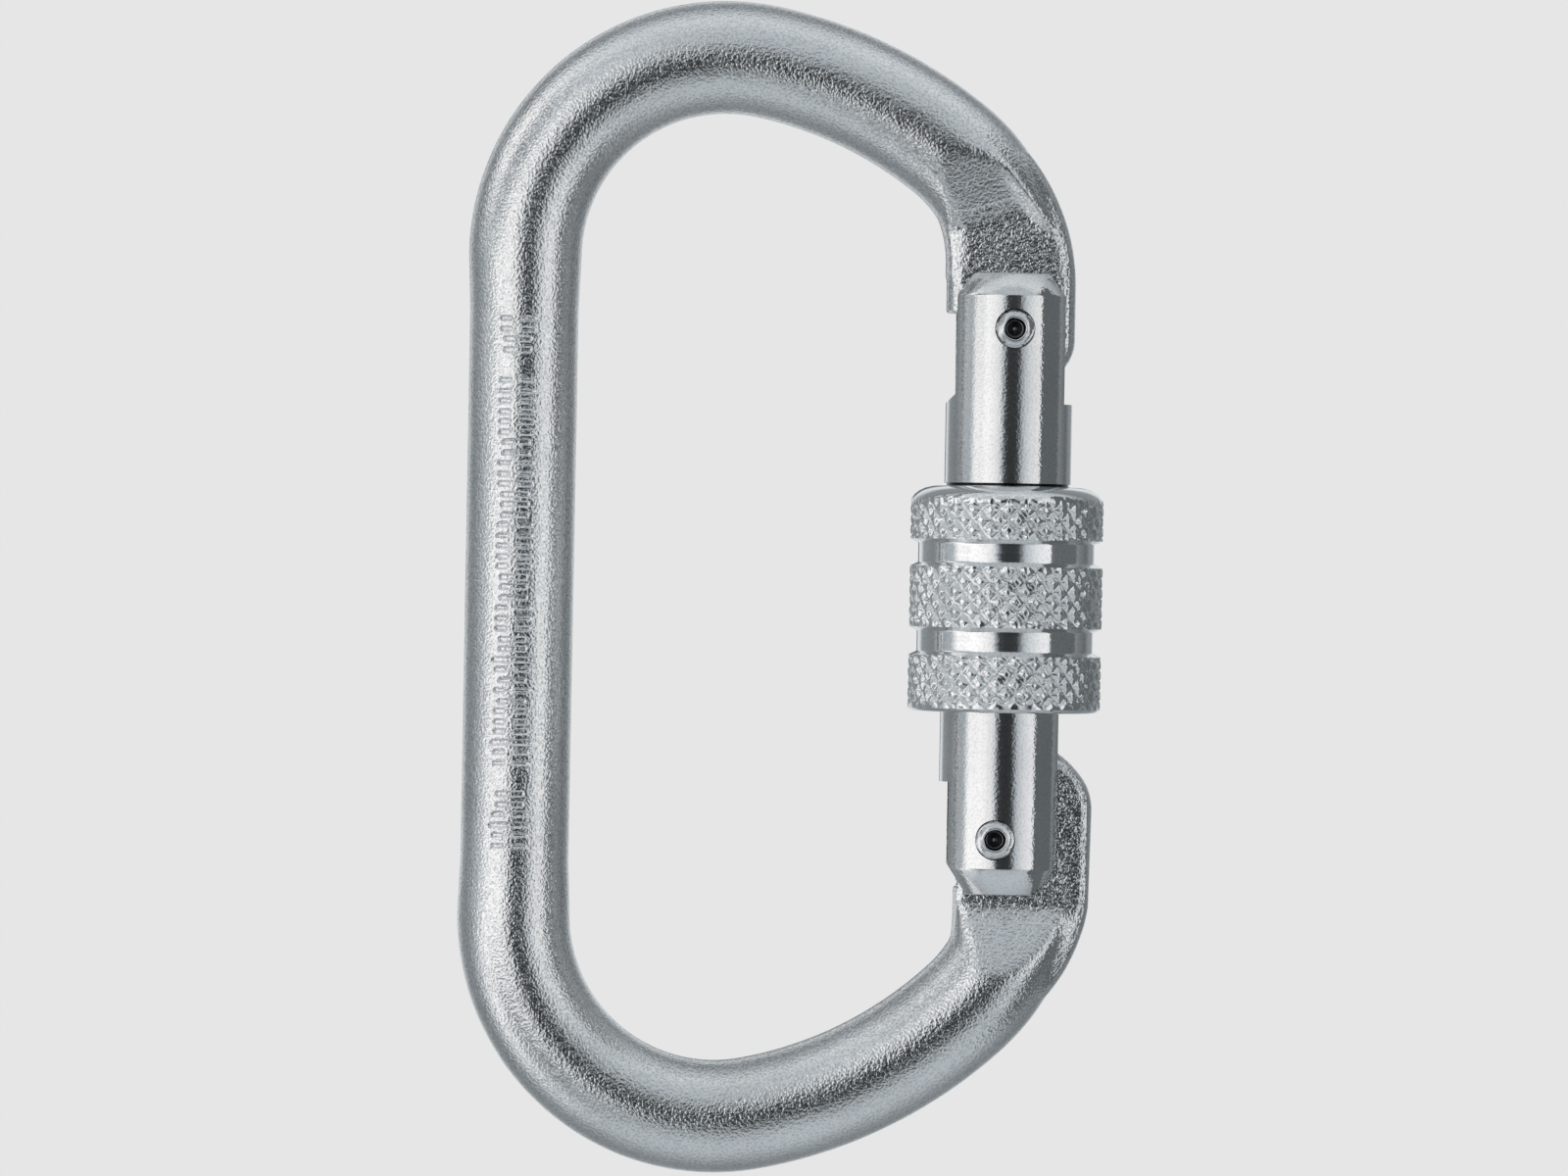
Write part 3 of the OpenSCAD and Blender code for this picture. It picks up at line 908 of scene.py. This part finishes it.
def glowing(name):
    m = bpy.data.materials.new(name)
    m.use_nodes = True
    nodes, links = m.node_tree.nodes, m.node_tree.links
    nodes.clear()
    glow = nodes.new("ShaderNodeEmission")
    links.new(glow.outputs[0], nodes.new("ShaderNodeOutputMaterial").inputs[0])
    m.cycles.emission_sampling = "NONE"
    return m, nodes, links, glow


def light_tent():
    """Soft tent round the set, with a dark opening towards the camera and panels round it."""
    m, nodes, links, glow = glowing("tent")
    aim = nodes.new("ShaderNodeVectorMath")
    aim.operation = "NORMALIZE"
    links.new(nodes.new("ShaderNodeTexCoord").outputs["Object"], aim.inputs[0])
    xyz = nodes.new("ShaderNodeSeparateXYZ")
    links.new(aim.outputs[0], xyz.inputs[0])
    x, y, z = xyz.outputs
    angle = math_node(nodes, links, "ARCCOSINE", math_node(nodes, links, "MULTIPLY", y, -1), 0)
    angle = math_node(nodes, links, "DIVIDE", angle, math.pi)
    turn = math_node(nodes, links, "DIVIDE", math_node(nodes, links, "ARCTAN2", z, x), TAU)
    total = ramp_node(nodes, links, angle, [(f / 180, v / PEAK) for f, v in WASH])
    for degrees, half, near, far, strength in PANELS:
        away = math_node(nodes, links, "SUBTRACT", turn, degrees / 360)
        away = math_node(nodes, links, "PINGPONG", away, 0.5)
        share = math_node(nodes, links, "SUBTRACT", (half + SOFT) / 360, away)
        share = math_node(nodes, links, "MULTIPLY", share, 360 / (2 * SOFT))
        share = math_node(nodes, links, "MINIMUM", math_node(nodes, links, "MAXIMUM", share, 0), 1)
        edges = [(near - NEAR_FADE, 0), (near + NEAR_FADE, 1), (far - FAR_FADE, 1), (far + FAR_FADE, 0)]
        span = ramp_node(nodes, links, angle, [(f / 180, v) for f, v in edges])
        lit = math_node(nodes, links, "MULTIPLY", span, share)
        lit = math_node(nodes, links, "MULTIPLY", lit, strength / PEAK)
        total = math_node(nodes, links, "ADD", total, lit)
    tones = [(v / PEAK, tone(v)) for v in (0, 0.6, 1, PEAK)]
    links.new(ramp_node(nodes, links, total, tones), glow.inputs["Color"])
    glow.inputs["Strength"].default_value = PEAK
    bm = bmesh.new()
    bmesh.ops.create_icosphere(bm, subdivisions=5, radius=TENT_R)
    tent = new_object("tent", bm)
    tent.rotation_euler = Vector((0, -1, 0)).rotation_difference(Vector(OPENING)).to_euler()
    paint(tent, m)

    # a grey card to the right, which the gate and sleeve see but the spine hardly does
    m, nodes, links, glow = glowing("card")
    glow.inputs["Color"].default_value = (0.13, 0.145, 0.152, 1)
    bm = bmesh.new()
    right, front, back, top = 70, -33.5, 5, 85
    corners = [(front, -top), (back, -top), (back, top), (front, top)]
    bm.faces.new([bm.verts.new((right, y, z)) for y, z in corners])
    card = new_object("card", bm)
    paint(card, m)
    for o in (tent, card):
        o.visible_camera = o.visible_shadow = False


def backdrop():
    """Pale floor under the object and a pale dome round the set, both seen only by the camera."""
    m, nodes, links, glow = glowing("pale")
    glow.inputs["Color"].default_value = (PALE, PALE, PALE, 1)
    size, drop = 3000, BODY_LO[2] - 12
    bm = bmesh.new()
    bmesh.ops.create_grid(bm, x_segments=8, y_segments=8, size=size * 0.9)
    bmesh.ops.translate(bm, vec=(0, 0, drop), verts=bm.verts)
    floor = new_object("floor", bm)
    bm = bmesh.new()
    bmesh.ops.create_icosphere(bm, subdivisions=4, radius=size)
    dome = new_object("dome", bm)
    for o in (floor, dome):
        paint(o, m)
        o.visible_diffuse = o.visible_glossy = o.visible_transmission = o.visible_shadow = False


def camera():
    """Long lens level with the object's middle, rolled a little, so that the object leans."""
    distance, frame_w, aside, lean = 0.9, 144.8 * MM, 0.12 * MM, 1.05
    cam = bpy.data.cameras.new("camera")
    cam.sensor_width = 36
    cam.lens = 36 * distance / frame_w
    cam.clip_end = 20
    o = bpy.data.objects.new("camera", cam)
    o.location = (aside, -distance, 0)
    level = Matrix.Rotation(math.radians(90), 4, "X")
    roll = Matrix.Rotation(math.radians(lean), 4, "Z")
    o.rotation_euler = (level @ roll).to_euler()
    bpy.context.scene.collection.objects.link(o)
    bpy.context.scene.camera = o


light_tent()
backdrop()
camera()
bpy.context.scene.view_settings.view_transform = "Standard"
